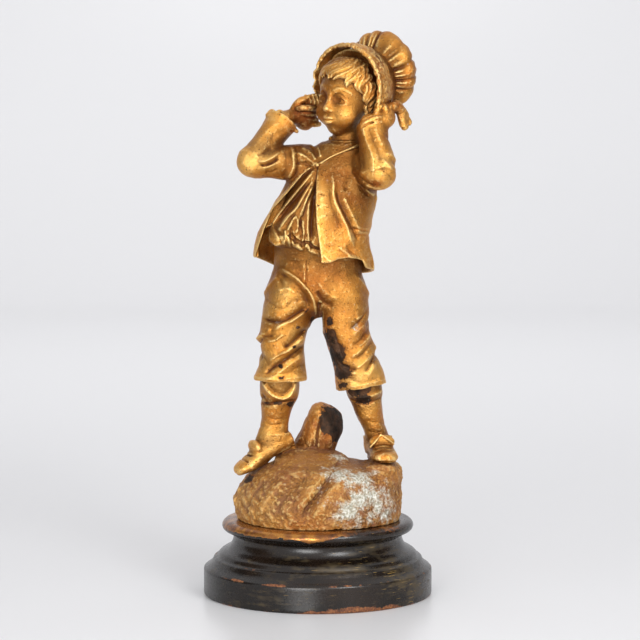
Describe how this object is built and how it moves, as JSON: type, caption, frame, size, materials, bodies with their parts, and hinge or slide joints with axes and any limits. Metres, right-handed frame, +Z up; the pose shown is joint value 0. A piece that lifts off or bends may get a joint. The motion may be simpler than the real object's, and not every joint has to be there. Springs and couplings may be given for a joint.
{
  "type": "figure of a boy",
  "caption": "Standing boy in short jacket and breeches, both hands at a pleated bonnet, on an earth mound with a sawn stump and a round stepped socle.",
  "frame": {"origin": "centre of the socle's underside", "axes": "+Z up, -Y the way the chest faces, +X on the boy's left hand"},
  "size_m": [0.1706, 0.1706, 0.4197],
  "materials": {
    "gilt_zinc": "gold bronze paint on cast zinc, rubbed and pitted, with dark metal and pale zinc corrosion where it is lost",
    "black_lacquered_wood": "black lacquer on turned wood, semi-gloss and scuffed, with a gold painted top rim"
  },
  "bodies": {
    "root": {"boy_figure": "gilt_zinc", "wood_socle": "black_lacquered_wood"}
  },
  "joints": []
}
